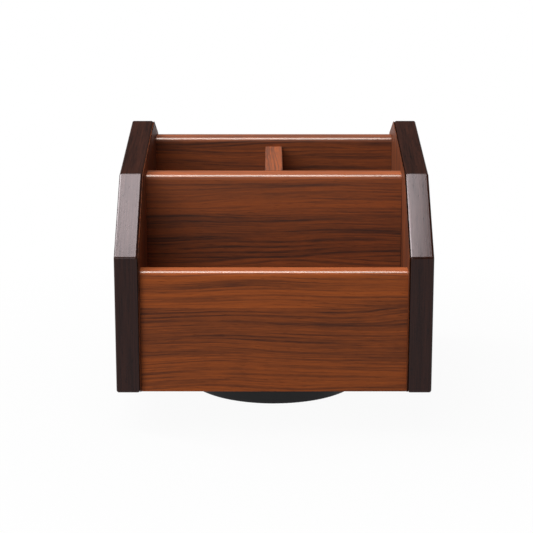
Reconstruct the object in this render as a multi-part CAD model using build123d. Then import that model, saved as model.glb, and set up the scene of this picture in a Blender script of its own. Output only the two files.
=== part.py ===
from build123d import *
import os

# A desk organizer that turns on a round base. Two stepped side panels, three cross walls and a divider
# make three open compartments. A ball bearing between the base and the bottom board carries the box.
# Millimetres, +Z up, front towards -Y. The origin is on the swivel axis, level with the feet's soles.

# Side panels. Depths run back from their front edge, heights run up from their underside.
overall_width = 152.0
panel_thickness = 12.0
laminate_thickness = 0.6
panel_depth = 158.0
front_edge_height = 67.3
knee_depth = 41.9
knee_height = 99.6
apex_depth = 128.0
apex_height = 111.3
rear_edge_height = 99.8
profile_corner_radius = 1.6
panel_edge_radius = 1.0

# Cross walls and divider. A wall's depth is that of its front face.
front_wall_depth = 3.0
front_wall_thickness = 9.0
front_wall_height = 59.8
middle_wall_depth = 57.5
middle_wall_thickness = 12.0
middle_wall_height = 95.7
rear_wall_depth = 136.8
rear_wall_thickness = 12.0
rear_wall_height = 100.4
divider_thickness = 9.0
nose_radius = 3.0
arris_radius = 0.6

# Bottom board: what is left of it over the pocket that hides the pivot nut.
pocket_cover = 3.5

# Dowels: as thick as this share of the board they join.
dowel_share = 0.5
dowel_bite = 16.0
dowel_cover = 4.0
dowel_inset = 15.0
dowel_glue_gap = 0.05
dowel_end_gap = 0.5

# Base disc and its feet.
base_diameter = 88.0
base_height = 12.2
base_top_radius = 1.5
base_bottom_radius = 0.8
foot_count = 4
foot_diameter = 9.0
foot_thickness = 2.0
foot_proud = 0.8
foot_circle_radius = 36.3
foot_gap = 0.1
foot_chamfer = 0.3

# Cored pockets in the underside of the base disc: an outer and an inner ring of them.
core_depth = 6.0
core_wall = 3.0
core_rib = 2.5
core_outer_width = 13.5
core_outer_count = 16
core_inner_width = 13.0
core_inner_count = 8

# Thrust bearing between the base disc and the swivel plate.
bearing_gap = 0.8
pitch_radius = 27.0
ball_count = 12
ball_diameter = 4.8
groove_clearance = 0.15
pocket_clearance = 0.15
race_width = 9.4
race_web = 0.85
race_seat_gap = 0.1
cage_width = 8.6
cage_thickness = 1.8
cage_gap = 0.3

# Swivel plate and its screws.
plate_diameter = 76.0
plate_web = 1.2
plate_edge_chamfer = 0.6
screw_count = 4
screw_circle_radius = 15.0
screw_shank_diameter = 3.5
screw_head_diameter = 6.6
screw_head_recess = 0.2
screw_cover = 2.5
screw_point_length = 2.5
screw_gap = 0.05
cross_width = 0.9
cross_length = 3.6
cross_depth = 1.2

# Pivot bolt, washer and lock nut.
bolt_diameter = 6.0
bolt_running_clearance = 0.08
bolt_fit_gap = 0.05
bolt_head_height = 4.0
bolt_head_recess = 0.4
hexagon_flats = 10.0
hexagon_gap = 0.15
bolt_chamfer = 0.6
washer_diameter = 12.0
washer_thickness = 1.2
washer_gap = 0.15
nut_height = 5.5
nut_chamfer = 0.8
thread_proud = 1.0
pocket_gap = 0.65
pocket_radial_gap = 3.0

# Heights, from the desk up.
base_bottom_z = foot_proud
base_top_z = base_bottom_z + base_height
ball_z = base_top_z + bearing_gap / 2
groove_radius = ball_diameter / 2 + groove_clearance
race_back = groove_radius + race_web
race_face = cage_thickness / 2 + cage_gap
channel_depth = race_back - bearing_gap / 2
plate_bottom_z = base_top_z + bearing_gap
plate_top_z = plate_bottom_z + channel_depth + plate_web
washer_z = plate_top_z + washer_gap
nut_z = washer_z + washer_thickness
bolt_end_z = nut_z + nut_height + thread_proud
pocket_top_z = bolt_end_z + pocket_gap
underside_z = plate_top_z
board_top_z = pocket_top_z + pocket_cover
screw_tip_z = board_top_z - screw_cover
bolt_head_top_z = base_bottom_z + bolt_head_recess + bolt_head_height

# Places across and along the box.
half_width = overall_width / 2
inner_half_width = half_width - panel_thickness
core_inner_x = inner_half_width + laminate_thickness
front_y = -panel_depth / 2
front_wall_y = front_y + front_wall_depth
front_wall_back_y = front_wall_y + front_wall_thickness
middle_wall_y = front_y + middle_wall_depth
middle_wall_back_y = middle_wall_y + middle_wall_thickness
rear_wall_y = front_y + rear_wall_depth
rear_wall_back_y = rear_wall_y + rear_wall_thickness
front_wall_top_z = underside_z + front_wall_height
middle_wall_top_z = underside_z + middle_wall_height
rear_wall_top_z = underside_z + rear_wall_height
race_inner_radius = pitch_radius - race_width / 2
race_outer_radius = pitch_radius + race_width / 2
bolt_radius = bolt_diameter / 2
hexagon_corner_radius = hexagon_flats / 3 ** 0.5

STANDING = (Align.CENTER, Align.CENTER, Align.MIN)
CORNER = (Align.MIN, Align.MIN, Align.MIN)


# Plain shapes between two heights or two corners.

def upright(radius, z_from, z_to, x=0.0, y=0.0):
    return Pos(x, y, z_from) * Cylinder(radius, z_to - z_from, align=STANDING)


def ring(inner_radius, outer_radius, z_from, z_to):
    return upright(outer_radius, z_from, z_to) - upright(inner_radius, z_from, z_to)


def hexagon(flats, z_from, z_to):
    outline = RegularPolygon(flats / 2, 6, major_radius=False)
    return Pos(0, 0, z_from) * extrude(outline, amount=z_to - z_from)


def block(x_from, x_to, y_from, y_to, z_from, z_to):
    return Pos(x_from, y_from, z_from) * Box(x_to - x_from, y_to - y_from, z_to - z_from, align=CORNER)


def around_axis(shape, count, start_angle=0.0):
    return [Rot(0, 0, start_angle + 360.0 * i / count) * shape for i in range(count)]


# Dowels. Each one is (centre, direction, radius, length), with its direction along X or Y.

def dowel(place, grow=0.0, stretch=0.0):
    centre, direction, radius, length = place
    turn = Rot(0, 90, 0) if direction == "x" else Rot(90, 0, 0)
    return Pos(*centre) * turn * Cylinder(radius + grow, length + 2 * stretch)


def end_dowels(y, z, board_thickness):
    """The two dowels, one at each end of a cross board, that hold it between the side panels."""
    side_bite = panel_thickness - dowel_cover
    length = dowel_bite + side_bite
    x = inner_half_width + (side_bite - dowel_bite) / 2
    radius = dowel_share * board_thickness / 2
    return [((side * x, y, z), "x", radius, length) for side in (-1, 1)]


def wall_dowels(wall_y, thickness, z_from, z_to):
    y = wall_y + thickness / 2
    low = end_dowels(y, z_from + dowel_inset, thickness)
    high = end_dowels(y, z_to - dowel_inset, thickness)
    return low + high


def board_dowels():
    z = (underside_z + board_top_z) / 2
    thickness = board_top_z - underside_z
    front = end_dowels(front_wall_back_y + dowel_inset, z, thickness)
    rear = end_dowels(rear_wall_y - dowel_inset, z, thickness)
    return front + rear


def divider_dowels():
    radius = dowel_share * divider_thickness / 2
    front_bite = middle_wall_thickness - dowel_cover
    rear_bite = rear_wall_thickness - dowel_cover
    front_y_centre = middle_wall_back_y + (dowel_bite - front_bite) / 2
    rear_y_centre = rear_wall_y - (dowel_bite - rear_bite) / 2
    places = []
    for z in (board_top_z + dowel_inset, middle_wall_top_z - dowel_inset):
        places.append(((0, front_y_centre, z), "y", radius, dowel_bite + front_bite))
        places.append(((0, rear_y_centre, z), "y", radius, dowel_bite + rear_bite))
    return places


dowel_places = {
    "front_wall_dowels": wall_dowels(front_wall_y, front_wall_thickness, underside_z, front_wall_top_z),
    "middle_wall_dowels": wall_dowels(middle_wall_y, middle_wall_thickness, board_top_z, middle_wall_top_z),
    "rear_wall_dowels": wall_dowels(rear_wall_y, rear_wall_thickness, underside_z, rear_wall_top_z),
    "bottom_board_dowels": board_dowels(),
    "divider_dowels": divider_dowels(),
}
side_dowel_names = ("front_wall_dowels", "middle_wall_dowels", "rear_wall_dowels", "bottom_board_dowels")


def drill(board, *names):
    """The board with the holes of the named dowels, a glue gap wider and an end gap longer than they are."""
    for name in names:
        for place in dowel_places[name]:
            board -= dowel(place, dowel_glue_gap, dowel_end_gap)
    return board


# Side panels: a core wrapped round its edges, and a laminate on its inner face.

def panel_outline(inset=0.0):
    """The panel's profile in the YZ plane, drawn in by inset all round."""
    profile = [
        (0.0, 0.0),
        (0.0, front_edge_height),
        (knee_depth, knee_height),
        (apex_depth, apex_height),
        (panel_depth, rear_edge_height),
        (panel_depth, 0.0),
    ]
    points = [(front_y + depth, underside_z + height) for depth, height in profile]
    face = make_face(Polyline(*points, close=True))
    face = fillet(face.vertices(), profile_corner_radius)
    if inset:
        face = offset(face, -inset)
    return Plane.YZ * face


def side_panel(side):
    core = Pos(core_inner_x, 0, 0) * extrude(panel_outline(), amount=half_width - core_inner_x)
    rim = core.edges().filter_by(Axis.X, reverse=True)
    core = fillet(rim, panel_edge_radius)
    if side < 0:
        core = mirror(core, Plane.YZ)
    return drill(core, *side_dowel_names)


def inner_laminate(side):
    sheet = extrude(panel_outline(panel_edge_radius), amount=laminate_thickness)
    sheet = Pos(inner_half_width, 0, 0) * sheet
    if side < 0:
        sheet = mirror(sheet, Plane.YZ)
    return drill(sheet, *side_dowel_names)


# Boards between the side panels.

def rounded_top(board):
    """A board with a wide round on its front top edge and a fine one on its rear top edge."""
    front_edge = board.edges().filter_by(Axis.X).group_by(Axis.Z)[-1].sort_by(Axis.Y)[0]
    board = fillet(front_edge, nose_radius)
    rear_edge = board.edges().filter_by(Axis.X).group_by(Axis.Z)[-1].sort_by(Axis.Y)[-1]
    return fillet(rear_edge, arris_radius)


def front_wall():
    wall = block(-inner_half_width, inner_half_width, front_wall_y, front_wall_back_y, underside_z,
                 front_wall_top_z)
    return drill(rounded_top(wall), "front_wall_dowels")


def middle_wall():
    wall = block(-inner_half_width, inner_half_width, middle_wall_y, middle_wall_back_y, board_top_z,
                 middle_wall_top_z)
    return drill(rounded_top(wall), "middle_wall_dowels", "divider_dowels")


def rear_wall():
    wall = block(-inner_half_width, inner_half_width, rear_wall_y, rear_wall_back_y, underside_z,
                 rear_wall_top_z)
    return drill(rounded_top(wall), "rear_wall_dowels", "divider_dowels")


def divider():
    half = divider_thickness / 2
    wall = block(-half, half, middle_wall_back_y, rear_wall_y, board_top_z, middle_wall_top_z)
    top_edges = wall.edges().filter_by(Axis.Y).group_by(Axis.Z)[-1]
    return drill(fillet(top_edges, arris_radius), "divider_dowels")


def bottom_board():
    board = block(-inner_half_width, inner_half_width, front_wall_back_y, rear_wall_y, underside_z,
                  board_top_z)
    widest_radius = max(hexagon_corner_radius, washer_diameter / 2)
    board -= upright(widest_radius + pocket_radial_gap, underside_z, pocket_top_z)
    pilot = upright(screw_shank_diameter / 2 + screw_gap, underside_z, screw_tip_z, screw_circle_radius)
    for hole in around_axis(pilot, screw_count):
        board -= hole
    return drill(board, "bottom_board_dowels")


# Base disc and feet.

def cored_pockets():
    """The pockets in the underside of the base disc, with a solid pad left at each foot."""
    outer_radius = base_diameter / 2 - core_wall
    outer_inner_radius = outer_radius - core_outer_width
    inner_outer_radius = outer_inner_radius - core_rib
    inner_radius = inner_outer_radius - core_inner_width
    bands = (
        (outer_inner_radius, outer_radius, core_outer_count),
        (inner_radius, inner_outer_radius, core_inner_count),
    )
    pockets = []
    for band_inner, band_outer, count in bands:
        band = Circle(band_outer) - Circle(band_inner)
        rib = Pos(band_outer / 2, 0) * Rectangle(band_outer, core_rib)
        for turned_rib in around_axis(rib, count, 180.0 / count):
            band -= turned_rib
        for pad in around_axis(Pos(foot_circle_radius, 0) * Circle(foot_diameter / 2 + core_rib),
                               foot_count, 180.0 / foot_count):
            band = Sketch(children=[face for face in band.faces() if face.distance_to(pad) > 0])
        pockets += [extrude(face, amount=core_depth, dir=(0, 0, 1)) for face in band.faces()]
    return [Pos(0, 0, base_bottom_z) * pocket for pocket in pockets]


def foot(grow=0.0):
    sole = upright(foot_diameter / 2 + grow, 0.0, foot_thickness, foot_circle_radius)
    if grow:
        return sole
    return chamfer(sole.edges().group_by(Axis.Z)[0], foot_chamfer)


def feet(grow=0.0):
    return around_axis(foot(grow), foot_count, 180.0 / foot_count)


def base_disc():
    disc = upright(base_diameter / 2, base_bottom_z, base_top_z)
    disc = fillet(disc.edges().group_by(Axis.Z)[-1], base_top_radius)
    disc = fillet(disc.edges().group_by(Axis.Z)[0], base_bottom_radius)
    for pocket in cored_pockets():
        disc -= pocket
    for seat in feet(foot_gap):
        disc -= seat
    channel_floor_z = base_top_z - channel_depth
    disc -= ring(race_inner_radius - race_seat_gap, race_outer_radius + race_seat_gap, channel_floor_z,
                 base_top_z)
    disc -= hexagon(hexagon_flats + 2 * hexagon_gap, base_bottom_z, bolt_head_top_z)
    disc -= upright(bolt_radius + bolt_fit_gap, bolt_head_top_z, base_top_z)
    return disc


# Thrust bearing.

def lower_race():
    race = ring(race_inner_radius, race_outer_radius, ball_z - race_back, ball_z - race_face)
    return race - Pos(0, 0, ball_z) * Torus(pitch_radius, groove_radius)


def upper_race():
    return mirror(lower_race(), Plane.XY.offset(ball_z))


def bearing_balls():
    ball = Pos(pitch_radius, 0, ball_z) * Sphere(ball_diameter / 2)
    return Compound(children=around_axis(ball, ball_count))


def ball_cage():
    cage = ring(pitch_radius - cage_width / 2, pitch_radius + cage_width / 2, ball_z - cage_thickness / 2,
                ball_z + cage_thickness / 2)
    pocket = upright(ball_diameter / 2 + pocket_clearance, ball_z - cage_thickness, ball_z + cage_thickness,
                     pitch_radius)
    for hole in around_axis(pocket, ball_count):
        cage -= hole
    return cage


# Swivel plate and its countersunk screws.

def plate_screw(grow=0.0):
    """A countersunk screw seen from below: its head is let into the plate and its point is up in the board."""
    head_z = plate_bottom_z + screw_head_recess
    head_radius = screw_head_diameter / 2 + grow
    shank_radius = screw_shank_diameter / 2 + grow
    head_depth = head_radius - shank_radius
    head = Pos(0, 0, head_z) * Cone(head_radius, shank_radius, head_depth, align=STANDING)
    if grow:
        mouth = upright(head_radius, plate_bottom_z, head_z)
        return mouth + head + upright(shank_radius, head_z, plate_top_z)
    point_z = screw_tip_z - screw_point_length
    shank = upright(shank_radius, head_z, point_z)
    point = Pos(0, 0, point_z) * Cone(shank_radius, 0, screw_point_length, align=STANDING)
    screw = head + shank + point
    for angle in (0, 90):
        screw -= Pos(0, 0, head_z) * Rot(0, 0, angle) * Box(cross_length, cross_width, 2 * cross_depth)
    return screw


def plate_screws():
    return Compound(children=around_axis(Pos(screw_circle_radius, 0) * plate_screw(), screw_count))


def swivel_plate():
    plate = upright(plate_diameter / 2, plate_bottom_z, plate_top_z)
    plate = chamfer(plate.edges().group_by(Axis.Z)[0], plate_edge_chamfer)
    plate -= ring(race_inner_radius - race_seat_gap, race_outer_radius + race_seat_gap, plate_bottom_z,
                  plate_bottom_z + channel_depth)
    plate -= upright(bolt_radius + bolt_running_clearance, plate_bottom_z, plate_top_z)
    for hole in around_axis(Pos(screw_circle_radius, 0) * plate_screw(screw_gap), screw_count):
        plate -= hole
    return plate


# Pivot.

def pivot_bolt():
    head = hexagon(hexagon_flats, bolt_head_top_z - bolt_head_height, bolt_head_top_z)
    bolt = head + upright(bolt_radius, bolt_head_top_z, bolt_end_z)
    return chamfer(bolt.edges().group_by(Axis.Z)[-1], bolt_chamfer)


def thrust_washer():
    return ring(bolt_radius + bolt_fit_gap, washer_diameter / 2, washer_z, nut_z)


def lock_nut():
    nut = hexagon(hexagon_flats, nut_z, nut_z + nut_height)
    blank = upright(hexagon_corner_radius, nut_z, nut_z + nut_height)
    blank = chamfer(blank.edges().group_by(Axis.Z)[-1], nut_chamfer)
    return (nut & blank) - upright(bolt_radius + bolt_fit_gap, nut_z, nut_z + nut_height)


pieces = {
    "base_disc": base_disc(),
    "lower_race": lower_race(),
    "pivot_bolt": pivot_bolt(),
    "thrust_washer": thrust_washer(),
    "lock_nut": lock_nut(),
    "bearing_balls": bearing_balls(),
    "ball_cage": ball_cage(),
    "upper_race": upper_race(),
    "swivel_plate": swivel_plate(),
    "plate_screws": plate_screws(),
    "bottom_board": bottom_board(),
    "left_panel": side_panel(-1),
    "right_panel": side_panel(1),
    "left_laminate": inner_laminate(-1),
    "right_laminate": inner_laminate(1),
    "front_wall": front_wall(),
    "middle_wall": middle_wall(),
    "rear_wall": rear_wall(),
    "divider": divider(),
}
for number, rubber_foot in enumerate(feet(), start=1):
    pieces[f"rubber_foot_{number}"] = rubber_foot
for name, places in dowel_places.items():
    pieces[name] = Compound(children=[dowel(place) for place in places])

os.makedirs("parts", exist_ok=True)
for name, piece in pieces.items():
    export_step(piece, f"parts/{name}.step")
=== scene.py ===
"""Rotating desk organizer: the visual model, laid out as an add-on and run as a script."""

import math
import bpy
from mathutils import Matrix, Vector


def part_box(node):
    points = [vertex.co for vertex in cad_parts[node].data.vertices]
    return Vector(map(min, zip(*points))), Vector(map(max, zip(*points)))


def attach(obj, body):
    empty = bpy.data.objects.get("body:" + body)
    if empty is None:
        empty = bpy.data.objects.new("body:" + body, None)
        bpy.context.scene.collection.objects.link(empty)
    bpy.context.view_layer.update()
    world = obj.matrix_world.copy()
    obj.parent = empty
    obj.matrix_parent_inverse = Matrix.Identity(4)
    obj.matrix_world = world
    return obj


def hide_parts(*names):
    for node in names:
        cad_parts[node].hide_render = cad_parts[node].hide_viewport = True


bl_info = {
    "name": "Rotating Desk Organizer",
    "version": (1, 0, 0),
    "blender": (4, 5, 0),
    "location": "View3D > Sidebar > Organizer",
    "description": "Dresses the CAD frame of a wooden desk organizer that turns on a round base",
    "category": "Object",
}

import bmesh
import bpy
from bpy.props import (
    FloatProperty,
    FloatVectorProperty,
    IntProperty,
    PointerProperty,
)
from mathutils import Quaternion, Vector

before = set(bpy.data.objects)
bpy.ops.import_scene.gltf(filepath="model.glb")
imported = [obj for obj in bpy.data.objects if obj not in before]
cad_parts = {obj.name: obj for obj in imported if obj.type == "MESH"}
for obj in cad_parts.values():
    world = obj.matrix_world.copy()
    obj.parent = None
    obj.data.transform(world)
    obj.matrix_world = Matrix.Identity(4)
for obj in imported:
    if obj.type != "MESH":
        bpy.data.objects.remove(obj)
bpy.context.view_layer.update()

MM = 0.001
MM_PER_METRE = 1000.0


# ---------------------------------------------------------------- helpers

def linear(code):
    """sRGB hex code to a linear RGB triple."""
    channels = [int(code[i:i + 2], 16) / 255 for i in (0, 2, 4)]
    return tuple(c / 12.92 if c <= 0.04045 else ((c + 0.055) / 1.055) ** 2.4 for c in channels)


def feed(tree, node, inputs):
    """Give a node's inputs their values, or link them to outputs of other nodes."""
    for key, value in inputs.items():
        socket = node.inputs[key]
        if isinstance(value, bpy.types.NodeSocket):
            tree.links.new(value, socket)
        elif isinstance(value, tuple) and len(value) == 3 and len(socket.default_value) == 4:
            socket.default_value = (*value, 1.0)
        else:
            socket.default_value = value


def add(tree, kind, settings=None, inputs=None):
    """Add a node to a tree with its settings, and its input values or links."""
    node = tree.nodes.new(kind)
    for key, value in (settings or {}).items():
        setattr(node, key, value)
    feed(tree, node, inputs or {})
    return node


def box(node_name):
    """A CAD node's lowest and highest corner."""
    low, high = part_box(node_name)
    return Vector(low), Vector(high)


def new_object(name, data):
    """A new object in the scene with this mesh, lamp or camera."""
    obj = bpy.data.objects.new(name, data)
    bpy.context.scene.collection.objects.link(obj)
    return obj


def made_plain(obj):
    """Turn an object and its modifiers into one plain mesh."""
    graph = bpy.context.evaluated_depsgraph_get()
    mesh = bpy.data.meshes.new_from_object(
        obj.evaluated_get(graph), preserve_all_data_layers=True, depsgraph=graph)
    obj.modifiers.clear()
    obj.data = mesh
    mesh.name = obj.name
    return obj


def place(obj, body, slot, *replaced):
    """Hang a finished piece on its body and hide the CAD nodes that it stands for. slot, the name of its
    finish, is not used.
    """
    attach(obj, body)
    if replaced:
        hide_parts(*replaced)


def dress(material, *node_names):
    """Give CAD nodes whose shape is right their finished material."""
    for node_name in node_names:
        for material_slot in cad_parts[node_name].material_slots:
            material_slot.material = material


def run_tree(name, tree, mesh, values, weighted=False):
    """Run a Geometry Nodes tree on a mesh, with its inputs set by identifier, and make it plain."""
    obj = new_object(name, mesh)
    modifier = obj.modifiers.new(tree.name, "NODES")
    modifier.node_group = tree
    for item in tree.interface.items_tree:
        if item.in_out == "INPUT" and item.name in values:
            modifier[item.identifier] = values[item.name]
    if weighted:
        obj.modifiers.new("even_normals", "WEIGHTED_NORMAL").keep_sharp = True
    return made_plain(obj)


# ---------------------------------------------------------------- sizes and colours

class ORGANIZER_PG_sizes(bpy.types.PropertyGroup):
    """Sizes of the organizer that the frame's boxes do not give."""
    front_edge_height: FloatProperty(
        name="Front edge height", description="Height of the side panel's front edge",
        default=67.3 * MM, unit="LENGTH")
    knee_depth: FloatProperty(
        name="Knee depth", description="Distance of the panel's knee from its front edge",
        default=41.9 * MM, unit="LENGTH")
    knee_height: FloatProperty(
        name="Knee height", description="Height of the knee between the two slopes",
        default=99.6 * MM, unit="LENGTH")
    apex_depth: FloatProperty(
        name="Apex depth", description="Distance of the panel's highest point from its front edge",
        default=128.0 * MM, unit="LENGTH")
    rear_edge_height: FloatProperty(
        name="Rear edge height", description="Height of the side panel's rear edge",
        default=99.8 * MM, unit="LENGTH")
    profile_radius: FloatProperty(
        name="Profile corner radius", description="Round of the corners of the panel's profile",
        default=1.6 * MM, unit="LENGTH")
    panel_edge_radius: FloatProperty(
        name="Panel edge radius", description="Round of the panel's long edges",
        default=1.2 * MM, unit="LENGTH")
    laminate_inset: FloatProperty(
        name="Laminate inset", description="Distance of the inner sheets' rim from the panel's profile",
        default=0.35 * MM, unit="LENGTH")
    nose_radius: FloatProperty(
        name="Nose radius", description="Round of the front top edge of the cross walls",
        default=2.6 * MM, unit="LENGTH")
    arris_radius: FloatProperty(
        name="Arris radius", description="Round of the fine edges of the boards",
        default=0.6 * MM, unit="LENGTH")
    leaf_width: FloatProperty(
        name="Leaf width", description="Width of one leaf of the laminate's wood pattern",
        default=22.7 * MM, unit="LENGTH")
    foot_count: IntProperty(
        name="Feet", description="Number of rubber feet", default=4, min=3)
    foot_circle: FloatProperty(
        name="Foot circle radius", description="Radius of the circle that the feet stand on",
        default=36.3 * MM, unit="LENGTH")
    foot_diameter: FloatProperty(
        name="Foot diameter", description="Diameter of a rubber foot", default=9.0 * MM, unit="LENGTH")
    foot_chamfer: FloatProperty(
        name="Foot chamfer", description="Chamfer round the sole of a foot",
        default=0.3 * MM, unit="LENGTH")
    ball_count: IntProperty(
        name="Balls", description="Number of balls in the bearing", default=12, min=3)
    ball_diameter: FloatProperty(
        name="Ball diameter", description="Diameter of a bearing ball", default=4.8 * MM, unit="LENGTH")
    ball_circle: FloatProperty(
        name="Ball circle radius", description="Radius of the circle that the balls run on",
        default=27.0 * MM, unit="LENGTH")


class ORGANIZER_PG_colours(bpy.types.PropertyGroup):
    """Colours of the finishes and of the studio."""
    walnut_light: FloatVectorProperty(
        name="Walnut, light", description="Light, reddish streaks of the laminate",
        default=linear("A35429"), subtype="COLOR", size=3, min=0, max=1)
    walnut_dark: FloatVectorProperty(
        name="Walnut, dark", description="Dark figure of the laminate",
        default=linear("4C2E24"), subtype="COLOR", size=3, min=0, max=1)
    walnut_pore: FloatVectorProperty(
        name="Walnut pores", description="Short open pores printed in the laminate",
        default=linear("371B14"), subtype="COLOR", size=3, min=0, max=1)
    espresso_light: FloatVectorProperty(
        name="Espresso, light", description="Light streaks of the stained side panels",
        default=linear("391F17"), subtype="COLOR", size=3, min=0, max=1)
    espresso_dark: FloatVectorProperty(
        name="Espresso, dark", description="Dark streaks of the stained side panels",
        default=linear("150C0A"), subtype="COLOR", size=3, min=0, max=1)
    plastic: FloatVectorProperty(
        name="Black plastic", description="Moulded base and swivel plate",
        default=linear("252627"), subtype="COLOR", size=3, min=0, max=1)
    rubber: FloatVectorProperty(
        name="Rubber", description="Feet", default=linear("161616"), subtype="COLOR", size=3, min=0, max=1)
    nylon: FloatVectorProperty(
        name="Nylon", description="Ball cage and thrust washer",
        default=linear("E6E2D4"), subtype="COLOR", size=3, min=0, max=1)
    steel: FloatVectorProperty(
        name="Bearing steel", description="Balls and races",
        default=linear("C4C5C7"), subtype="COLOR", size=3, min=0, max=1)
    zinc: FloatVectorProperty(
        name="Zinc plate", description="Bolt, nut and screws",
        default=linear("BFC3C8"), subtype="COLOR", size=3, min=0, max=1)
    beech: FloatVectorProperty(
        name="Beech", description="Dowels", default=linear("D2AE7C"), subtype="COLOR", size=3, min=0, max=1)
    floor: FloatVectorProperty(
        name="Floor", description="Studio floor", default=linear("A6A6A6"), subtype="COLOR", size=3,
        min=0, max=1)


# ---------------------------------------------------------------- materials

# Turns a pattern whose streaks run along X so that they run along the named axis.
GRAIN_TURN = {
    "X": (0.0, 0.0, 0.0),
    "Y": (0.0, 0.0, math.radians(90)),
    "Z": (0.0, math.radians(90), 0.0),
}

# How much of the laminate's lightness its figure, its streaks and its fibres make, what is taken off their
# sum, and how strongly a pore's own colour covers them.
FIGURE_SHARE = 0.30
STREAK_SHARE = 0.38
FIBRE_SHARE = 0.38
TONE_DROP = 0.07
PORE_SHARE = 0.45

# The pattern's stretch from one printed leaf to the next, and how far its waves push it, in mm.
LEAF_STEP = 430.0
WAVE_PUSH = 6.0

# How much of the stained wood's lightness its broad streaks, its fine streaks and its pores make.
BROAD_SHARE = 0.4
FINE_SHARE = 0.6
STAIN_PORE_SHARE = -0.5

# Depth of the relief of wood and plastic, and of rubber.
RELIEF_DEPTH = 0.02 * MM
RUBBER_RELIEF_DEPTH = 0.03 * MM

# A Mix node set to colour has its share and its two colours at these inputs, and its result at this output.
MIX = {"data_type": "RGBA"}
MULTIPLY = {"data_type": "RGBA", "blend_type": "MULTIPLY"}
SHARE = 0
FIRST = 6
SECOND = 7
MIXED = 2


def start_material(name, values):
    """A new material, its tree, and its Principled shader with these input values."""
    material = bpy.data.materials.new(name)
    material.use_nodes = True
    tree = material.node_tree
    shader = tree.nodes["Principled BSDF"]
    feed(tree, shader, values)
    return material, tree, shader


def position_in_mm(tree, turn=(0.0, 0.0, 0.0), offset=(0.0, 0.0, 0.0)):
    """A point's position on the object in millimetres, turned and then shifted by the offset."""
    coordinates = add(tree, "ShaderNodeTexCoord")
    mapping = add(tree, "ShaderNodeMapping", None, {
        "Vector": coordinates.outputs["Object"], "Scale": (MM_PER_METRE,) * 3,
        "Rotation": turn, "Location": offset})
    return mapping.outputs["Vector"]


def mottle(tree, position, size_mm, limits=None, detail=2.0, roughness=0.5, result=(0.0, 1.0)):
    """Noise whose blotches measure about size_mm along the three axes of a position in mm.

    limits is the part of the noise that is spread over result. Without limits the noise stays as it is.
    """
    scaled = add(tree, "ShaderNodeVectorMath", {"operation": "DIVIDE"}, {0: position, 1: size_mm})
    noise = add(tree, "ShaderNodeTexNoise", {"noise_dimensions": "3D"}, {
        "Vector": scaled.outputs[0], "Scale": 1.0, "Detail": detail, "Roughness": roughness})
    if limits is None:
        return noise.outputs["Fac"]
    spread = add(tree, "ShaderNodeMapRange", {"clamp": True}, {
        "Value": noise.outputs["Fac"], "From Min": limits[0], "From Max": limits[1],
        "To Min": result[0], "To Max": result[1]})
    return spread.outputs["Result"]


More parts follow.
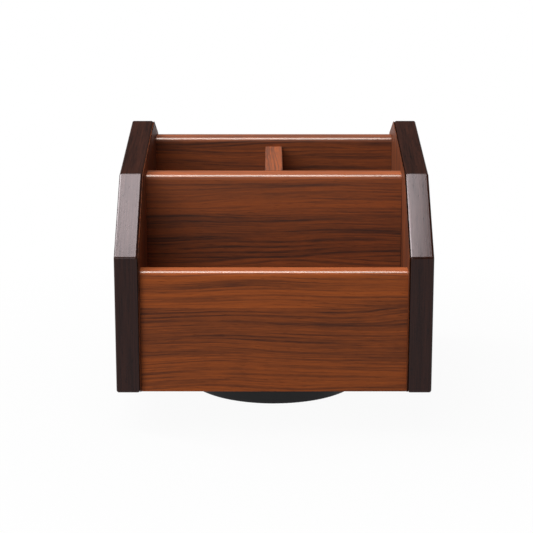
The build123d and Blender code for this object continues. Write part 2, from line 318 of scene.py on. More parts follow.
def walnut_laminate(name, grain, joint=0.0, tones=(0.5, 0.5, 0.5), offset=(0.0, 0.0, 0.0),
                    level=0.05, gloss=(0.21, 0.28), tint=(1.0, 0.95, 0.88), relief=0.06, haze=0.010):
    """Walnut-pattern laminate, pressed on board and satin.

    It gives the eye a warm reddish brown with soft dark figure bands some 6 mm wide, fine fibres under
    1 mm wide along the grain, short dark pores, and a change of tone where two printed leaves meet.
    Real fibres and pores are finer: they are drawn about 0.5 mm wide so that they show.
    joint is the height of a leaf joint in metres, tones the lightness of the leaf above it, of the one
    below it and of the next one down, level the specular level, gloss the span of roughness, relief the
    strength of the pores' relief and haze the weight of the dusty film that shows at a grazing angle.
    """
    colours = bpy.context.scene.organizer_colours
    sizes = bpy.context.scene.organizer_sizes
    material, tree, shader = start_material(name, {
        "IOR": 1.5, "Specular IOR Level": level, "Specular Tint": tint,
        "Sheen Weight": haze, "Sheen Roughness": 0.5})
    # The print wraps round the board: it only knows how far along the grain and how far across it is.
    turned = add(tree, "ShaderNodeSeparateXYZ", None, {0: position_in_mm(tree, GRAIN_TURN[grain], offset)})
    wrapped = add(tree, "ShaderNodeMath", {"operation": "ADD"},
                  {0: turned.outputs["Y"], 1: turned.outputs["Z"]}).outputs[0]
    position = add(tree, "ShaderNodeCombineXYZ", None, {"X": turned.outputs["X"], "Y": wrapped}).outputs[0]

    # Leaves of the print: each has its own lightness and its own stretch of the pattern.
    coordinates = add(tree, "ShaderNodeTexCoord")
    height = add(tree, "ShaderNodeSeparateXYZ", None, {0: coordinates.outputs["Object"]}).outputs["Z"]
    above = add(tree, "ShaderNodeMath", {"operation": "GREATER_THAN"}, {0: height, 1: joint}).outputs[0]
    between = add(tree, "ShaderNodeMath", {"operation": "GREATER_THAN"},
                  {0: height, 1: joint - sizes.leaf_width}).outputs[0]
    leaf = add(tree, "ShaderNodeMath", {"operation": "MULTIPLY_ADD"},
               {0: between, 1: tones[1] - tones[2], 2: tones[2] - 0.5}).outputs[0]
    leaf = add(tree, "ShaderNodeMath", {"operation": "MULTIPLY_ADD"},
               {0: above, 1: tones[0] - tones[1], 2: leaf}).outputs[0]
    leaf_count = add(tree, "ShaderNodeMath", {"operation": "ADD"}, {0: above, 1: between}).outputs[0]
    leaf_shift = add(tree, "ShaderNodeMath", {"operation": "MULTIPLY"},
                     {0: leaf_count, 1: LEAF_STEP}).outputs[0]
    shift_vector = add(tree, "ShaderNodeCombineXYZ", None, {"X": leaf_shift}).outputs[0]
    position = add(tree, "ShaderNodeVectorMath", {"operation": "ADD"},
                   {0: position, 1: shift_vector}).outputs[0]

    # Slow waves push the figure sideways by a few millimetres.
    wave = mottle(tree, position, (110.0, 36.0, 1.0), detail=1.0)
    push = add(tree, "ShaderNodeMath", {"operation": "MULTIPLY_ADD"},
               {0: wave, 1: 2 * WAVE_PUSH, 2: -WAVE_PUSH}).outputs[0]
    push_vector = add(tree, "ShaderNodeCombineXYZ", None, {"Y": push}).outputs[0]
    waved = add(tree, "ShaderNodeVectorMath", {"operation": "ADD"}, {0: position, 1: push_vector}).outputs[0]

    figure = mottle(tree, waved, (240.0, 5.2, 1.0), (0.34, 0.66), detail=1.0)
    streak = mottle(tree, waved, (80.0, 1.15, 1.0), (0.36, 0.54), detail=1.0)
    fibre = mottle(tree, waved, (11.0, 0.5, 1.0), (0.3, 0.7), roughness=0.6)
    pore = mottle(tree, waved, (6.0, 0.45, 1.0), (0.64, 0.74), detail=1.0)
    tone = add(tree, "ShaderNodeMath", {"operation": "MULTIPLY"}, {0: figure, 1: FIGURE_SHARE}).outputs[0]
    tone = add(tree, "ShaderNodeMath", {"operation": "MULTIPLY_ADD"},
               {0: streak, 1: STREAK_SHARE, 2: tone}).outputs[0]
    tone = add(tree, "ShaderNodeMath", {"operation": "MULTIPLY_ADD"},
               {0: fibre, 1: FIBRE_SHARE, 2: tone}).outputs[0]
    leaf = add(tree, "ShaderNodeMath", {"operation": "SUBTRACT"}, {0: leaf, 1: TONE_DROP}).outputs[0]
    tone = add(tree, "ShaderNodeMath", {"operation": "ADD", "use_clamp": True}, {0: tone, 1: leaf}).outputs[0]

    wood = add(tree, "ShaderNodeMix", MIX, {
        SHARE: tone, FIRST: tuple(colours.walnut_dark), SECOND: tuple(colours.walnut_light)})
    pore_share = add(tree, "ShaderNodeMath", {"operation": "MULTIPLY"}, {0: pore, 1: PORE_SHARE}).outputs[0]
    printed = add(tree, "ShaderNodeMix", MIX, {
        SHARE: pore_share, FIRST: wood.outputs[MIXED], SECOND: tuple(colours.walnut_pore)})
    rough = add(tree, "ShaderNodeMapRange", None, {"Value": fibre, "To Min": gloss[0], "To Max": gloss[1]})
    ridges = add(tree, "ShaderNodeMath", {"operation": "SUBTRACT"}, {0: fibre, 1: pore}).outputs[0]
    bump = add(tree, "ShaderNodeBump", None, {"Strength": relief, "Distance": RELIEF_DEPTH, "Height": ridges})
    feed(tree, shader, {"Base Color": printed.outputs[MIXED], "Roughness": rough.outputs["Result"],
                        "Normal": bump.outputs["Normal"]})
    return material


def espresso_wood(name):
    """Side panels veneered and stained espresso, with a satin lacquer.

    It gives the eye a near-black brown with fine streaks under 1 mm wide along the grain, which the lacquer
    softens to a grey sheen under the lamp. The pores are finer in truth: they are drawn 0.45 mm wide so
    that they show. The pattern follows the panel's UV map, in metres: across the grain and along it, so
    the banding's streaks run round the profile.
    """
    colours = bpy.context.scene.organizer_colours
    material, tree, shader = start_material(name, {
        "IOR": 1.5, "Specular IOR Level": 0.2, "Specular Tint": (1.0, 0.86, 0.90)})
    grain_map = add(tree, "ShaderNodeUVMap", {"uv_map": "grain"})
    mapping = add(tree, "ShaderNodeMapping", None, {
        "Vector": grain_map.outputs["UV"], "Scale": (MM_PER_METRE,) * 3})
    position = mapping.outputs["Vector"]
    broad = mottle(tree, position, (3.2, 90.0, 10.0), (0.3, 0.7))
    fine = mottle(tree, position, (0.65, 26.0, 10.0), (0.3, 0.7), roughness=0.6)
    pore = mottle(tree, position, (0.45, 5.0, 10.0), (0.62, 0.74), detail=1.0)
    tone = add(tree, "ShaderNodeMath", {"operation": "MULTIPLY"}, {0: broad, 1: BROAD_SHARE}).outputs[0]
    tone = add(tree, "ShaderNodeMath", {"operation": "MULTIPLY_ADD"},
               {0: fine, 1: FINE_SHARE, 2: tone}).outputs[0]
    tone = add(tree, "ShaderNodeMath", {"operation": "MULTIPLY_ADD", "use_clamp": True},
               {0: pore, 1: STAIN_PORE_SHARE, 2: tone}).outputs[0]
    stained = add(tree, "ShaderNodeMix", MIX, {
        SHARE: tone, FIRST: tuple(colours.espresso_dark), SECOND: tuple(colours.espresso_light)})
    # The lacquer fills the light streaks better: they are the glossier ones.
    rough = add(tree, "ShaderNodeMapRange", None, {"Value": tone, "To Min": 0.20, "To Max": 0.10})
    bump = add(tree, "ShaderNodeBump", None, {"Strength": 0.15, "Distance": RELIEF_DEPTH, "Height": tone})
    feed(tree, shader, {"Base Color": stained.outputs[MIXED], "Roughness": rough.outputs["Result"],
                        "Normal": bump.outputs["Normal"]})
    return material


def moulded_plastic(name):
    """ABS moulded in a spark-eroded tool.

    It gives the eye a satin black with a faint grain. The real grain is finer and is drawn 0.3 mm wide
    so that it shows.
    """
    colours = bpy.context.scene.organizer_colours
    material, tree, shader = start_material(name, {"IOR": 1.5, "Specular IOR Level": 0.25})
    position = position_in_mm(tree)
    grain = mottle(tree, position, (0.3, 0.3, 0.3))
    shade = mottle(tree, position, (18.0, 18.0, 18.0), (0.3, 0.7), result=(0.88, 1.12))
    shaded = add(tree, "ShaderNodeMix", MULTIPLY, {SHARE: 1.0, FIRST: tuple(colours.plastic), SECOND: shade})
    rough = add(tree, "ShaderNodeMapRange", None, {
        "Value": grain, "From Min": 0.3, "From Max": 0.7, "To Min": 0.38, "To Max": 0.46})
    bump = add(tree, "ShaderNodeBump", None, {"Strength": 0.3, "Distance": RELIEF_DEPTH, "Height": grain})
    feed(tree, shader, {"Base Color": shaded.outputs[MIXED], "Roughness": rough.outputs["Result"],
                        "Normal": bump.outputs["Normal"]})
    return material


def moulded_rubber(name):
    """Soft rubber, moulded: it gives the eye a matte black, slightly dusty and uneven."""
    colours = bpy.context.scene.organizer_colours
    material, tree, shader = start_material(name, {
        "Roughness": 0.8, "IOR": 1.52, "Specular IOR Level": 0.3})
    dust = mottle(tree, position_in_mm(tree), (0.8, 0.8, 0.8), (0.35, 0.75), detail=3.0, result=(0.8, 1.6))
    dusty = add(tree, "ShaderNodeMix", MULTIPLY, {SHARE: 1.0, FIRST: tuple(colours.rubber), SECOND: dust})
    bump = add(tree, "ShaderNodeBump", None, {
        "Strength": 0.4, "Distance": RUBBER_RELIEF_DEPTH, "Height": dust})
    feed(tree, shader, {"Base Color": dusty.outputs[MIXED], "Normal": bump.outputs["Normal"]})
    return material


def natural_nylon(name):
    """Natural nylon, moulded: it gives the eye a milky, slightly yellow white with a soft gloss."""
    colours = bpy.context.scene.organizer_colours
    material, tree, shader = start_material(name, {"Roughness": 0.45, "IOR": 1.53})
    cloud = mottle(tree, position_in_mm(tree), (4.0, 4.0, 4.0), (0.3, 0.7), result=(0.94, 1.0))
    milky = add(tree, "ShaderNodeMix", MULTIPLY, {SHARE: 1.0, FIRST: tuple(colours.nylon), SECOND: cloud})
    feed(tree, shader, {"Base Color": milky.outputs[MIXED]})
    return material


def ground_steel(name):
    """Bearing steel, ground and polished: it gives the eye a bright metal whose gloss is slightly smeared."""
    colours = bpy.context.scene.organizer_colours
    material, tree, shader = start_material(name, {"Metallic": 1.0, "Base Color": tuple(colours.steel)})
    smear = mottle(tree, position_in_mm(tree), (2.0, 2.0, 0.3), (0.3, 0.7), detail=3.0, result=(0.14, 0.26))
    feed(tree, shader, {"Roughness": smear})
    return material


def zinc_plate(name):
    """Steel, cold formed and zinc plated: silvery to the eye, with a faint blue cast and a cloudy gloss."""
    colours = bpy.context.scene.organizer_colours
    material, tree, shader = start_material(name, {"Metallic": 1.0})
    cloud = mottle(tree, position_in_mm(tree), (1.5, 1.5, 1.5), detail=3.0)
    shade = add(tree, "ShaderNodeMapRange", None, {
        "Value": cloud, "From Min": 0.3, "From Max": 0.7, "To Min": 0.85, "To Max": 1.0})
    plated = add(tree, "ShaderNodeMix", MULTIPLY, {
        SHARE: 1.0, FIRST: tuple(colours.zinc), SECOND: shade.outputs["Result"]})
    rough = add(tree, "ShaderNodeMapRange", None, {
        "Value": cloud, "From Min": 0.3, "From Max": 0.7, "To Min": 0.42, "To Max": 0.28})
    feed(tree, shader, {"Base Color": plated.outputs[MIXED], "Roughness": rough.outputs["Result"]})
    return material


def turned_beech(name):
    """Beech, turned and unfinished: it gives the eye a pale, dull wood with short fine flecks."""
    colours = bpy.context.scene.organizer_colours
    material, tree, shader = start_material(name, {"Roughness": 0.65, "IOR": 1.5})
    fleck = mottle(tree, position_in_mm(tree), (6.0, 0.5, 0.5), (0.3, 0.7), result=(0.8, 1.0))
    flecked = add(tree, "ShaderNodeMix", MULTIPLY, {SHARE: 1.0, FIRST: tuple(colours.beech), SECOND: fleck})
    feed(tree, shader, {"Base Color": flecked.outputs[MIXED]})
    return material


# ---------------------------------------------------------------- shapes

CORNER_STEPS = 8
RIM_STEPS = 5
RIM_ANGLE = math.radians(60)
SHARP_ANGLE = math.radians(35)


def rounded_outline(corners, radius, inset=0.0):
    """Closed outline through 2D corners, each corner an arc of the radius, drawn in by inset."""
    points = []
    count = len(corners)
    for i in range(count):
        before, here, after = (Vector(corners[(i + k) % count]) for k in (-1, 0, 1))
        inward = (before - here).normalized()
        onward = (after - here).normalized()
        half_angle = inward.angle(onward) / 2
        centre = here + (inward + onward).normalized() * (radius / math.sin(half_angle))
        reach = radius / math.tan(half_angle)
        first = here + inward * reach - centre
        last = here + onward * reach - centre
        sweep = first.angle_signed(last)
        for k in range(CORNER_STEPS + 1):
            angle = -sweep * k / CORNER_STEPS
            turned = Vector((first.x * math.cos(angle) - first.y * math.sin(angle),
                             first.x * math.sin(angle) + first.y * math.cos(angle)))
            points.append(centre + turned * ((radius - inset) / radius))
    return points


def prism(name, outline, x_from, x_to):
    """A prism along X over an outline in the YZ plane."""
    mesh = bpy.data.meshes.new(name)
    shape = bmesh.new()
    ends = [[shape.verts.new((x, p[0], p[1])) for p in outline] for x in (x_from, x_to)]
    shape.faces.new(ends[0])
    shape.faces.new(reversed(ends[1]))
    count = len(outline)
    for i in range(count):
        j = (i + 1) % count
        shape.faces.new((ends[0][j], ends[0][i], ends[1][i], ends[1][j]))
    bmesh.ops.recalc_face_normals(shape, faces=shape.faces)
    shape.to_mesh(mesh)
    shape.free()
    return mesh


def softened(obj, radius):
    """Round the rims of a prism and even out its shading."""
    if radius:
        bevel = obj.modifiers.new("edge_round", "BEVEL")
        bevel.limit_method = "ANGLE"
        bevel.angle_limit = RIM_ANGLE
        bevel.width = radius
        bevel.segments = RIM_STEPS
    for face in obj.data.polygons:
        face.use_smooth = True
    obj.modifiers.new("even_normals", "WEIGHTED_NORMAL").keep_sharp = True
    return made_plain(obj)


def panel_corners():
    """The side panel's profile as depth and height in the frame's Y and Z."""
    sizes = bpy.context.scene.organizer_sizes
    low, high = box("left_panel")
    depth = high.y - low.y
    corners = [
        (0.0, 0.0),
        (0.0, sizes.front_edge_height),
        (sizes.knee_depth, sizes.knee_height),
        (sizes.apex_depth, high.z - low.z),
        (depth, sizes.rear_edge_height),
        (depth, 0.0),
    ]
    return [(low.y + y, low.z + z) for y, z in corners]


def lay_grain(mesh, outline):
    """UV map in metres: across the grain and along it, round the outline on the panel's edges."""
    side_face = 0.7
    tiny = 1e-18
    lengths = [0.0]
    for a, b in zip(outline, outline[1:] + outline[:1]):
        lengths.append(lengths[-1] + (b - a).length)
    total = lengths[-1]

    def station(point):
        """How far along the outline the place nearest to a point lies."""
        best = (math.inf, 0.0)
        for i, a in enumerate(outline):
            b = outline[(i + 1) % len(outline)]
            span = b - a
            share = max(0.0, min(1.0, (point - a).dot(span) / max(span.length_squared, tiny)))
            gap = (point - a - span * share).length
            if gap < best[0]:
                best = (gap, lengths[i] + span.length * share)
        return best[1]

    stations = [station(Vector((v.co.y, v.co.z))) for v in mesh.vertices]
    layer = mesh.uv_layers.new(name="grain")
    for face in mesh.polygons:
        flat = abs(face.normal.x) > side_face
        along = [stations[mesh.loops[k].vertex_index] for k in face.loop_indices]
        wraps = max(along) - min(along) > total / 2
        for k, s in zip(face.loop_indices, along):
            corner = mesh.vertices[mesh.loops[k].vertex_index].co
            if flat:
                layer.data[k].uv = (corner.y, corner.z)
            else:
                layer.data[k].uv = (corner.x, s + total if wraps and s < total / 2 else s)


def lathe(name, profile, steps):
    """A closed solid turned about Z from a profile of (radius, height) that starts and ends on the axis."""
    mesh = bpy.data.meshes.new(name)
    shape = bmesh.new()
    rings = []
    for radius, height in profile:
        if radius == 0.0:
            rings.append([shape.verts.new((0.0, 0.0, height))])
        else:
            turns = [2 * math.pi * k / steps for k in range(steps)]
            rings.append([shape.verts.new((radius * math.cos(t), radius * math.sin(t), height))
                          for t in turns])
    for lower, upper in zip(rings, rings[1:]):
        for k in range(steps):
            j = (k + 1) % steps
            corners = [lower[k % len(lower)], lower[j % len(lower)], upper[j % len(upper)],
                       upper[k % len(upper)]]
            shape.faces.new(dict.fromkeys(corners))
    bmesh.ops.recalc_face_normals(shape, faces=shape.faces)
    shape.to_mesh(mesh)
    shape.free()
    for face in mesh.polygons:
        face.use_smooth = True
    mesh.set_sharp_from_angle(angle=SHARP_ANGLE)
    return mesh


# ---------------------------------------------------------------- geometry trees

MERGE_GAP = 0.001 * MM
SOFT_ANGLE = math.radians(30)

# A face of a board belongs to the nose if its normal's Y is below the first and its Z above the second.
NOSE_FORWARD = -0.05
NOSE_UPWARD = 0.55


def new_tree(name, sockets):
    """A Geometry Nodes tree with one geometry output, and the outputs of its named inputs."""
    tree = bpy.data.node_groups.new(name, "GeometryNodeTree")
    tree.interface.new_socket("Geometry", in_out="OUTPUT", socket_type="NodeSocketGeometry")
    for socket_name, kind in sockets:
        tree.interface.new_socket(socket_name, in_out="INPUT", socket_type="NodeSocket" + kind)
    inside = tree.nodes.new("NodeGroupInput").outputs
    return tree, inside


def finish_tree(tree, geometry, material, part=None, part_material=None):
    """Close a tree with Realize Instances and Set Material, and a second material on a part of it."""
    real = add(tree, "GeometryNodeRealizeInstances", None, {0: geometry})
    finished = add(tree, "GeometryNodeSetMaterial", None, {"Geometry": real.outputs[0], "Material": material})
    if part:
        finished = add(tree, "GeometryNodeSetMaterial", None,
                       {"Geometry": finished.outputs[0], "Selection": part, "Material": part_material})
    add(tree, "NodeGroupOutput", None, {0: finished.outputs[0]})
    return tree


def board_tree():
    """Laminated board along X: a profile with a nose and a fine arris, filled and drawn out to its length."""
    tree, inside = new_tree("laminated_board", [
        ("Length", "Float"), ("Thickness", "Float"), ("Height", "Float"),
        ("Nose Radius", "Float"), ("Arris Radius", "Float"), ("Arc Steps", "Int"),
        ("Centre", "Vector"), ("Turn", "Float"), ("Material", "Material"), ("Nose Material", "Material")])
    profile = add(tree, "GeometryNodeCurvePrimitiveQuadrilateral", {"mode": "RECTANGLE"},
                  {"Width": inside["Thickness"], "Height": inside["Height"]})
    # Only the two top corners are rounded: x < 0 is the front of the board, x > 0 its rear.
    corner = add(tree, "ShaderNodeSeparateXYZ", None,
                 {0: add(tree, "GeometryNodeInputPosition").outputs[0]})
    at_front = add(tree, "ShaderNodeMath", {"operation": "LESS_THAN"}, {0: corner.outputs["X"], 1: 0.0})
    at_top = add(tree, "ShaderNodeMath", {"operation": "GREATER_THAN"}, {0: corner.outputs["Y"], 1: 0.0})
    nose = add(tree, "ShaderNodeMath", {"operation": "SUBTRACT"},
               {0: inside["Nose Radius"], 1: inside["Arris Radius"]})
    radius = add(tree, "ShaderNodeMath", {"operation": "MULTIPLY_ADD"},
                 {0: at_front.outputs[0], 1: nose.outputs[0], 2: inside["Arris Radius"]})
    radius = add(tree, "ShaderNodeMath", {"operation": "MULTIPLY"},
                 {0: radius.outputs[0], 1: at_top.outputs[0]})
    rounded = add(tree, "GeometryNodeFilletCurve", {"mode": "POLY"},
                  {"Curve": profile.outputs[0], "Count": inside["Arc Steps"], "Radius": radius.outputs[0]})
    face = add(tree, "GeometryNodeFillCurve", {"mode": "NGONS"}, {"Curve": rounded.outputs[0]})
    along = add(tree, "ShaderNodeCombineXYZ", None, {"Z": inside["Length"]})
    drawn = add(tree, "GeometryNodeExtrudeMesh", {"mode": "FACES"},
                {"Mesh": face.outputs[0], "Offset": along.outputs[0], "Offset Scale": 1.0,
                 "Individual": False})
    back = add(tree, "GeometryNodeFlipFaces", None, {"Mesh": face.outputs[0]})
    shell = add(tree, "GeometryNodeJoinGeometry")
    tree.links.new(drawn.outputs[0], shell.inputs[0])
    tree.links.new(back.outputs[0], shell.inputs[0])
    closed = add(tree, "GeometryNodeMergeByDistance", None,
                 {"Geometry": shell.outputs[0], "Distance": MERGE_GAP})
    # The profile lies in XY and is drawn out along Z: turn it so that X is its length and Z its height.
    half = add(tree, "ShaderNodeMath", {"operation": "MULTIPLY"}, {0: inside["Length"], 1: -0.5})
    middle = add(tree, "ShaderNodeCombineXYZ", None, {"X": half.outputs[0]})
    upright = add(tree, "GeometryNodeTransform", None,
                  {"Geometry": closed.outputs[0], "Rotation": (math.pi / 2, 0.0, math.pi / 2),
                   "Translation": middle.outputs[0]})
    turn = add(tree, "ShaderNodeCombineXYZ", None, {"Z": inside["Turn"]})
    placed = add(tree, "GeometryNodeTransform", None,
                 {"Geometry": upright.outputs[0], "Rotation": turn.outputs[0],
                  "Translation": inside["Centre"]})
    angle = add(tree, "GeometryNodeInputMeshEdgeAngle")
    soft = add(tree, "ShaderNodeMath", {"operation": "LESS_THAN"}, {0: angle.outputs[0], 1: SOFT_ANGLE})
    smooth = add(tree, "GeometryNodeSetShadeSmooth", {"domain": "FACE"},
                 {"Geometry": placed.outputs[0], "Shade Smooth": True})
    edges = add(tree, "GeometryNodeSetShadeSmooth", {"domain": "EDGE"},
                {"Geometry": smooth.outputs[0], "Shade Smooth": soft.outputs[0]})
    # The upper part of the rounded nose takes its own material.
    facing = add(tree, "ShaderNodeSeparateXYZ", None, {0: add(tree, "GeometryNodeInputNormal").outputs[0]})
    forward = add(tree, "ShaderNodeMath", {"operation": "LESS_THAN"},
                  {0: facing.outputs["Y"], 1: NOSE_FORWARD})
    upward = add(tree, "ShaderNodeMath", {"operation": "GREATER_THAN"},
                 {0: facing.outputs["Z"], 1: NOSE_UPWARD})
    on_nose = add(tree, "ShaderNodeMath", {"operation": "MULTIPLY"},
                  {0: forward.outputs[0], 1: upward.outputs[0]})
    return finish_tree(tree, edges.outputs[0], inside["Material"], on_nose.outputs[0],
                       inside["Nose Material"])


def ring_tree():
    """Copies of a mesh on a circle about the swivel axis, each turned to face outward."""
    tree, inside = new_tree("ring_of_copies", [
        ("Geometry", "Geometry"), ("Count", "Int"), ("Radius", "Float"), ("Start Angle", "Float"),
        ("Level", "Float"), ("Material", "Material")])
    circle = add(tree, "GeometryNodeMeshCircle", {"fill_type": "NONE"},
                 {"Vertices": inside["Count"], "Radius": inside["Radius"]})
    index = add(tree, "GeometryNodeInputIndex")
    step = add(tree, "ShaderNodeMath", {"operation": "DIVIDE"}, {0: 2 * math.pi, 1: inside["Count"]})
    angle = add(tree, "ShaderNodeMath", {"operation": "MULTIPLY"},
                {0: index.outputs[0], 1: step.outputs[0]})
    turn = add(tree, "ShaderNodeCombineXYZ", None, {"Z": angle.outputs[0]})
    facing = add(tree, "FunctionNodeEulerToRotation", None, {0: turn.outputs[0]})
    copies = add(tree, "GeometryNodeInstanceOnPoints", None,
                 {"Points": circle.outputs[0], "Instance": inside["Geometry"],
                  "Rotation": facing.outputs[0]})
    start = add(tree, "ShaderNodeCombineXYZ", None, {"Z": inside["Start Angle"]})
    level = add(tree, "ShaderNodeCombineXYZ", None, {"Z": inside["Level"]})
    placed = add(tree, "GeometryNodeTransform", None,
                 {"Geometry": copies.outputs[0], "Rotation": start.outputs[0],
                  "Translation": level.outputs[0]})
    return finish_tree(tree, placed.outputs[0], inside["Material"])


# ---------------------------------------------------------------- operators

NOSE_STEPS = 10
FOOT_SIDES = 40
BALL_SIDES = 24
BALL_ARCS = 12


class ORGANIZER_OT_side_panels(bpy.types.Operator):
    """Make the two espresso side panels with rounded profile corners and edges"""
    bl_idname = "organizer.side_panels"
    bl_label = "Side Panels"

    def execute(self, context):
        sizes = context.scene.organizer_sizes
        material = espresso_wood("espresso_stained_wood")
        outline = rounded_outline(panel_corners(), sizes.profile_radius)
        for side in ("left", "right"):
            low, high = box(side + "_panel")
            panel = new_object(side + "_side_panel", prism(side + "_side_panel", outline, low.x, high.x))
            panel = softened(panel, sizes.panel_edge_radius)
            lay_grain(panel.data, outline)
            panel.data.materials.append(material)
            place(panel, "organizer", "espresso_wood", side + "_panel")
        return {"FINISHED"}


class ORGANIZER_OT_inner_laminates(bpy.types.Operator):
    """Make the walnut laminate sheets on the inner faces of the side panels, printed darker than the walls as
    painted shade
    """
    bl_idname = "organizer.inner_laminates"
    bl_label = "Inner Laminates"

    def execute(self, context):
        sizes = context.scene.organizer_sizes
        outline = rounded_outline(panel_corners(), sizes.profile_radius, sizes.laminate_inset)
        # side, pattern shift in mm, tone; the low tones are painted shade on the inner faces, darker than the
        # walls' laminate
        sheets = (("left", 140.0, 0.26), ("right", 310.0, 0.22))
        for side, shift, tone in sheets:
            # The same laminate as the walls, with a lower tone that paints in the shade between the panels.
            material = walnut_laminate("walnut_laminate_" + side, "Z", tones=(tone,) * 3,
                                       offset=(shift, shift, 0.0), level=0.03, gloss=(0.42, 0.52), haze=0.002)
            low, high = box(side + "_laminate")
            sheet = new_object(side + "_inner_sheet", prism(side + "_inner_sheet", outline, low.x, high.x))
            sheet = softened(sheet, 0.0)
            sheet.data.materials.append(material)
            place(sheet, "organizer", "walnut_laminate", side + "_laminate")
        return {"FINISHED"}


class ORGANIZER_OT_cross_walls(bpy.types.Operator):
    """Make the three cross walls and the divider from one tree for a laminated board"""
    bl_idname = "organizer.cross_walls"
    bl_label = "Cross Walls and Divider"

    def execute(self, context):
        sizes = context.scene.organizer_sizes
        tree = board_tree()
        boards = (
            # node, grain, nose radius, leaf joint height, leaf tones, pattern shift in mm, specular level
            ("front_wall", "X", sizes.nose_radius, 59.9 * MM, (0.64, 0.40, 0.56), 0.0, 0.05),
            ("middle_wall", "X", sizes.nose_radius, 93.6 * MM, (0.54, 0.32, 0.42), 300.0, 0.22),
            ("rear_wall", "X", sizes.nose_radius, 112.5 * MM, (0.30, 0.44, 0.36), 620.0, 0.18),
            ("divider", "Y", sizes.arris_radius, 0.0, (0.33, 0.33, 0.33), 1240.0, 0.18),
        )
        for node_name, grain, nose_radius, joint, tones, shift, level in boards:
            low, high = box(node_name)
            span = high - low
            across = grain == "Y"
            offset = (shift, 0.0, 0.0)
            board_material = walnut_laminate(
                "walnut_laminate_" + node_name, grain, joint, tones, offset, level=level,
                gloss=(0.50, 0.60), haze=0.016)
            # The laminate is heated and drawn tight over the nose, which leaves it smoother and glossier.
            nose_material = walnut_laminate(
                "postformed_nose_" + node_name, grain, joint, tones, offset, level=0.66,
                gloss=(0.19, 0.22), tint=(1.0, 0.94, 0.87), relief=0.0)
            values = {
                "Length": span.y if across else span.x,
                "Thickness": span.x if across else span.y,
                "Height": span.z,
                "Nose Radius": nose_radius,
                "Arris Radius": sizes.arris_radius,
                "Arc Steps": NOSE_STEPS,
                "Centre": (low + high) / 2,
                "Turn": math.pi / 2 if across else 0.0,
                "Material": board_material,
                "Nose Material": nose_material,
            }
            name = node_name + "_board"
            board = run_tree(name, tree, bpy.data.meshes.new(name), values, weighted=True)
            place(board, "organizer", "walnut_laminate", node_name)
        return {"FINISHED"}


class ORGANIZER_OT_bottom_board(bpy.types.Operator):
    """Finish the bottom board"""
    bl_idname = "organizer.bottom_board"
    bl_label = "Bottom Board"

    def execute(self, context):
        dress(walnut_laminate("walnut_laminate_bottom", "X", offset=(40.0, 0.0, 0.0)), "bottom_board")
        return {"FINISHED"}


class ORGANIZER_OT_swivel_base(bpy.types.Operator):
    """Finish the base disc and the swivel plate, and make the rubber feet"""
    bl_idname = "organizer.swivel_base"
    bl_label = "Swivel Base"

    def execute(self, context):
        sizes = context.scene.organizer_sizes
        dress(moulded_plastic("black_moulded_plastic"), "base_disc", "swivel_plate")
        low, high = box("rubber_foot_1")
        radius = sizes.foot_diameter / 2
        chamfer = sizes.foot_chamfer
        height = high.z - low.z
        profile = [(0.0, 0.0), (radius - chamfer, 0.0), (radius, chamfer), (radius, height), (0.0, height)]
        values = {
            "Count": sizes.foot_count,
            "Radius": sizes.foot_circle,
            "Start Angle": math.pi / sizes.foot_count,
            "Level": low.z,
            "Material": moulded_rubber("black_moulded_rubber"),
        }
        foot = lathe("rubber_feet", profile, FOOT_SIDES)
        feet = run_tree("rubber_feet", ring_tree(), foot, values)
        place(feet, "base", "foot_rubber", *(f"rubber_foot_{k + 1}" for k in range(sizes.foot_count)))
        return {"FINISHED"}


class ORGANIZER_OT_bearing(bpy.types.Operator):
    """Finish the races and the cage of the swivel bearing, and make its balls"""
    bl_idname = "organizer.bearing"
    bl_label = "Bearing"

    def execute(self, context):
        sizes = context.scene.organizer_sizes
        steel = ground_steel("ground_bearing_steel")
        nylon = natural_nylon("natural_nylon")
        dress(steel, "lower_race", "upper_race")
        dress(nylon, "ball_cage", "thrust_washer")
        radius = sizes.ball_diameter / 2
        low, high = box("bearing_balls")
        turns = [math.pi * k / BALL_ARCS for k in range(BALL_ARCS + 1)]
        profile = [(radius * math.sin(t), -radius * math.cos(t)) for t in turns]
        profile[0] = (0.0, -radius)
        profile[-1] = (0.0, radius)
        ball = lathe("balls", profile, BALL_SIDES)
        values = {
            "Count": sizes.ball_count,
            "Radius": sizes.ball_circle,
            "Start Angle": 0.0,
            "Level": (low.z + high.z) / 2,
            "Material": steel,
        }
        balls = run_tree("balls", ring_tree(), ball, values)
        place(balls, "ball_carrier", "bearing_steel", "bearing_balls")
        return {"FINISHED"}


class ORGANIZER_OT_fasteners(bpy.types.Operator):
    """Finish the pivot bolt, its nut, the plate screws and the dowels"""
    bl_idname = "organizer.fasteners"
    bl_label = "Bolt, Screws and Dowels"

    def execute(self, context):
        zinc = zinc_plate("zinc_plated_steel")
        dress(zinc, "pivot_bolt", "lock_nut", "plate_screws")
        dress(turned_beech("turned_beech"), "front_wall_dowels", "middle_wall_dowels", "rear_wall_dowels",
              "bottom_board_dowels", "divider_dowels")
        return {"FINISHED"}


# Lamps: name, place, aim, width, depth, roll in degrees, radiance.
LAMPS = (
    ("overhead_softbox", (-0.03, 0.16, 1.12), (-0.03, 0.16, 0.0), 0.38, 1.10, 0.0, 4.8),
    ("overhead_core", (-0.042, 0.0, 1.08), (-0.042, 0.0, 0.0), 0.41, 0.21, 0.0, 12.8),
    ("left_strip", (-0.62, 0.18, 0.87), (0.0, 0.0, 0.08), 0.90, 0.16, 74.0, 27.0),
    ("front_softbox", (-0.58, -1.18, 0.80), (0.0, 0.0, 0.08), 1.20, 1.00, 0.0, 3.0),
)

# The camera stands in front of the object and looks down at it by its tilt, in radians.
CAMERA_PLACE = (-0.0007, -0.9, 0.28965)
CAMERA_TILT = 0.24872
CAMERA_LENS = 120.8
CAMERA_SENSOR = 36.0
CAMERA_SHIFT = -0.0113
CAMERA_NEAR = 0.01

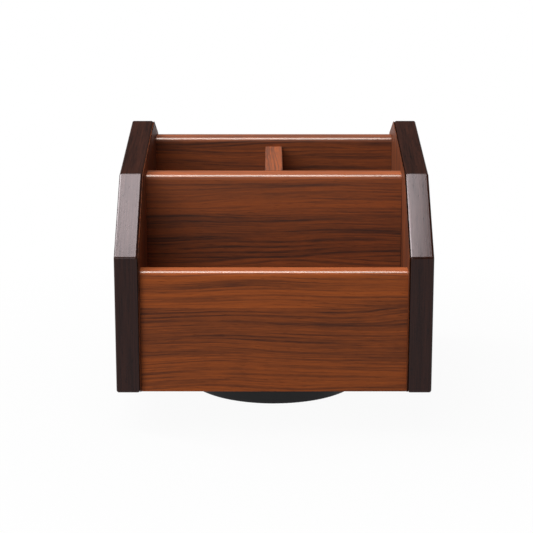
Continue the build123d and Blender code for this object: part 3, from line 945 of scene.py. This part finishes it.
# The paper keeps the object's shadow inside the first distance and is white from the second one on.
SHADOW_NEAR = 0.10
SHADOW_FAR = 0.28
NEAR_WHITE = 0.95
SURROUND_GREY = 0.06


class ORGANIZER_OT_studio(bpy.types.Operator):
    """Make the floor, the world, the lamps and the camera"""
    bl_idname = "organizer.studio"
    bl_label = "Studio"

    def execute(self, context):
        self.make_floor(context)
        self.make_world(context)
        for name, spot, aim, width, depth, roll, radiance in LAMPS:
            lamp = bpy.data.lights.new(name, "AREA")
            lamp.shape = "RECTANGLE"
            lamp.size = width
            lamp.size_y = depth
            lamp.energy = radiance * math.pi * width * depth
            holder = new_object(name, lamp)
            holder.location = spot
            facing = (Vector(aim) - Vector(spot)).to_track_quat("-Z", "Y")
            holder.rotation_euler = (facing @ Quaternion((0.0, 0.0, 1.0), math.radians(roll))).to_euler()
        camera = bpy.data.cameras.new("camera")
        camera.sensor_width = CAMERA_SENSOR
        camera.lens = CAMERA_LENS
        camera.shift_x = CAMERA_SHIFT
        camera.clip_start = CAMERA_NEAR
        view = new_object("camera", camera)
        view.location = CAMERA_PLACE
        view.rotation_euler = (math.pi / 2 - CAMERA_TILT, 0.0, 0.0)
        context.scene.camera = view
        context.scene.view_settings.view_transform = "Standard"
        return {"FINISHED"}

    def make_floor(self, context):
        """A round studio sweep: floor, cove and a lip turned down behind it."""
        reach = 4.0
        cove = 0.4
        lip = 0.25
        arcs = 12
        sides = 96
        inner_ring = 0.4
        outer_ring = 1.5
        profile = [(0.0, 0.0), (inner_ring, 0.0), (outer_ring, 0.0)]
        for k in range(arcs + 1):
            angle = math.pi / 2 * k / arcs
            profile.append((reach - cove + cove * math.sin(angle), cove - cove * math.cos(angle)))
        profile.append((reach, lip))
        sweep = new_object("studio_sweep", lathe("studio_sweep", profile, sides))
        sweep.data.flip_normals()
        material = bpy.data.materials.new("studio_paper")
        material.use_nodes = True
        tree = material.node_tree
        tree.nodes.clear()
        paper = add(tree, "ShaderNodeBsdfDiffuse", None,
                    {"Color": tuple(context.scene.organizer_colours.floor)})
        white = add(tree, "ShaderNodeEmission", None, {"Color": (1.0, 1.0, 1.0), "Strength": 1.0})
        # Seen by the camera, a mirror or through glass the paper is white, and keeps the soft shadow near
        # the object. Everything else meets the lit paper alone.
        coordinates = add(tree, "ShaderNodeTexCoord")
        distance = add(tree, "ShaderNodeVectorMath", {"operation": "LENGTH"},
                       {0: coordinates.outputs["Object"]})
        share = add(tree, "ShaderNodeMapRange", None, {
            "Value": distance.outputs["Value"], "From Min": SHADOW_NEAR, "From Max": SHADOW_FAR,
            "To Min": NEAR_WHITE, "To Max": 1.0})
        seen = add(tree, "ShaderNodeMixShader", None,
                   {0: share.outputs["Result"], 1: paper.outputs[0], 2: white.outputs[0]})
        path = add(tree, "ShaderNodeLightPath").outputs
        direct = add(tree, "ShaderNodeMath", {"operation": "MAXIMUM"},
                     {0: path["Is Camera Ray"], 1: path["Is Glossy Ray"]})
        direct = add(tree, "ShaderNodeMath", {"operation": "MAXIMUM"},
                     {0: direct.outputs[0], 1: path["Is Transmission Ray"]})
        look = add(tree, "ShaderNodeMixShader", None,
                   {0: direct.outputs[0], 1: paper.outputs[0], 2: seen.outputs[0]})
        add(tree, "ShaderNodeOutputMaterial", None, {"Surface": look.outputs[0]})
        sweep.data.materials.append(material)

    def make_world(self, context):
        """A dim even surround, so that slopes facing away from the lamps stay dark."""
        world = bpy.data.worlds.new("studio_surround")
        world.use_nodes = True
        background = world.node_tree.nodes["Background"]
        feed(world.node_tree, background, {"Color": (SURROUND_GREY,) * 3, "Strength": 1.0})
        context.scene.world = world


class ORGANIZER_PT_panel(bpy.types.Panel):
    """Steps that build the organizer, in their order"""
    bl_idname = "ORGANIZER_PT_panel"
    bl_label = "Rotating Desk Organizer"
    bl_space_type = "VIEW_3D"
    bl_region_type = "UI"
    bl_category = "Organizer"

    def draw(self, context):
        for operator in OPERATORS:
            self.layout.operator(operator.bl_idname)
        for group in (context.scene.organizer_sizes, context.scene.organizer_colours):
            column = self.layout.column(align=True)
            for key in group.__annotations__:
                column.prop(group, key)


OPERATORS = (
    ORGANIZER_OT_side_panels,
    ORGANIZER_OT_inner_laminates,
    ORGANIZER_OT_cross_walls,
    ORGANIZER_OT_bottom_board,
    ORGANIZER_OT_swivel_base,
    ORGANIZER_OT_bearing,
    ORGANIZER_OT_fasteners,
    ORGANIZER_OT_studio,
)
CLASSES = (ORGANIZER_PG_sizes, ORGANIZER_PG_colours, *OPERATORS, ORGANIZER_PT_panel)


def register():
    """Register the classes and hang the sizes and the colours on the scene."""
    for cls in CLASSES:
        bpy.utils.register_class(cls)
    bpy.types.Scene.organizer_sizes = PointerProperty(type=ORGANIZER_PG_sizes)
    bpy.types.Scene.organizer_colours = PointerProperty(type=ORGANIZER_PG_colours)


def unregister():
    """Undo register."""
    del bpy.types.Scene.organizer_colours
    del bpy.types.Scene.organizer_sizes
    for cls in reversed(CLASSES):
        bpy.utils.unregister_class(cls)


def main():
    """Run every step in order."""
    register()
    bpy.ops.organizer.side_panels()
    bpy.ops.organizer.inner_laminates()
    bpy.ops.organizer.cross_walls()
    bpy.ops.organizer.bottom_board()
    bpy.ops.organizer.swivel_base()
    bpy.ops.organizer.bearing()
    bpy.ops.organizer.fasteners()
    bpy.ops.organizer.studio()


if __name__ == "__main__":
    main()
